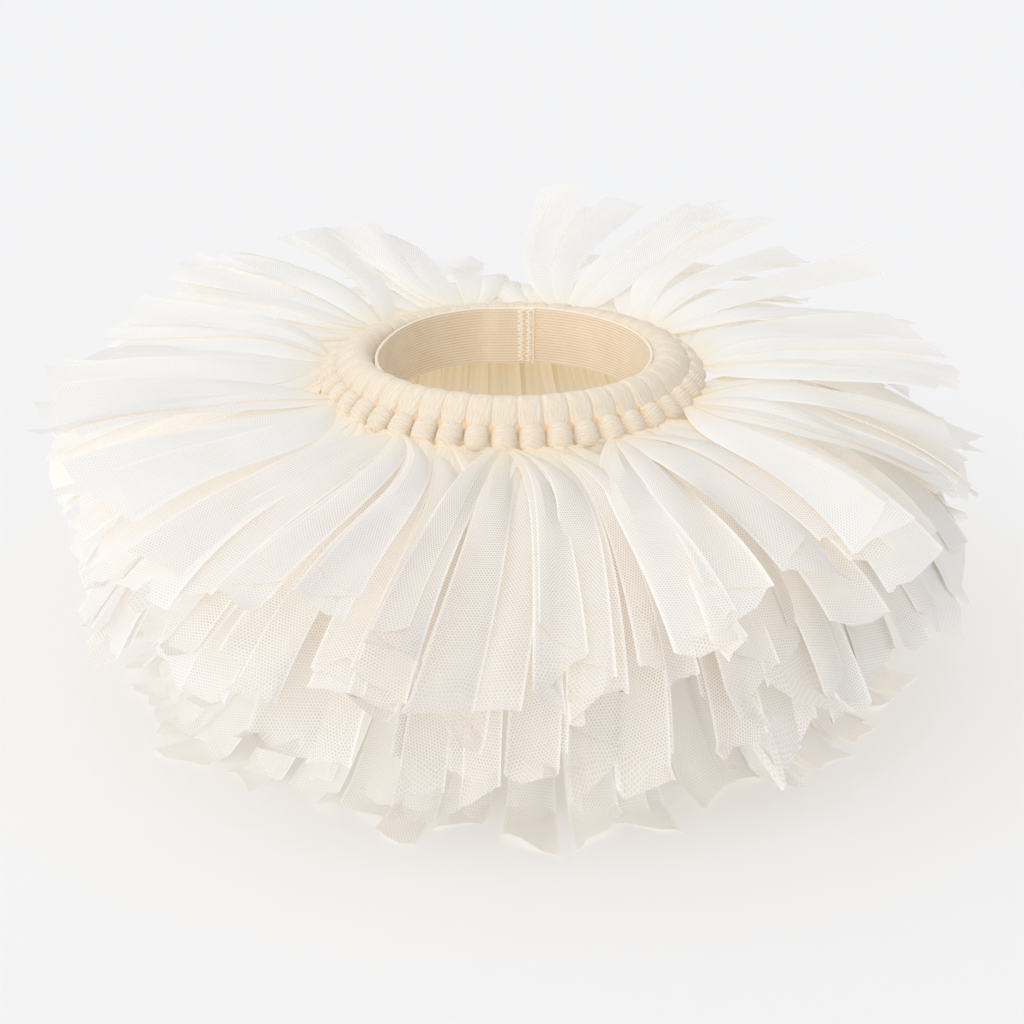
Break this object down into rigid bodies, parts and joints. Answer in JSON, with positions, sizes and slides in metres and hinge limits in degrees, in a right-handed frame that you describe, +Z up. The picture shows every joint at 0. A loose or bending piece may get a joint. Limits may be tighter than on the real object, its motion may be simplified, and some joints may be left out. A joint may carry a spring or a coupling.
{
  "type": "ballet tutu",
  "caption": "Newborn-size ballet tutu: a round elastic waistband with knotted strips of stiff tulle that spread in layers and stand by themselves.",
  "frame": {"origin": "on the floor that the tutu stands on, under the middle of the waist", "axes": "+Z up through the waist, front to -Y, wearer's left to +X"},
  "size_m": [0.3752, 0.3738, 0.1443],
  "materials": {
    "elastic": "ribbed woven elastic, matt",
    "tulle": "ivory net, matt"
  },
  "bodies": {
    "root": {"elastic_band": "elastic", "strip_01": "tulle", "strip_02": "tulle", "strip_03": "tulle", "strip_04": "tulle", "strip_05": "tulle", "strip_06": "tulle", "strip_07": "tulle", "strip_08": "tulle", "strip_09": "tulle", "strip_10": "tulle", "strip_11": "tulle", "strip_12": "tulle", "strip_13": "tulle", "strip_14": "tulle", "strip_15": "tulle", "strip_16": "tulle", "strip_17": "tulle", "strip_18": "tulle", "strip_19": "tulle", "strip_20": "tulle", "strip_21": "tulle", "strip_22": "tulle", "strip_23": "tulle", "strip_24": "tulle", "strip_25": "tulle", "strip_26": "tulle", "strip_27": "tulle", "strip_28": "tulle", "strip_29": "tulle", "strip_30": "tulle", "strip_31": "tulle", "strip_32": "tulle", "strip_33": "tulle", "strip_34": "tulle", "strip_35": "tulle", "strip_36": "tulle", "strip_37": "tulle", "strip_38": "tulle", "strip_39": "tulle", "strip_40": "tulle", "strip_41": "tulle", "strip_42": "tulle", "strip_43": "tulle", "strip_44": "tulle"}
  },
  "joints": []
}
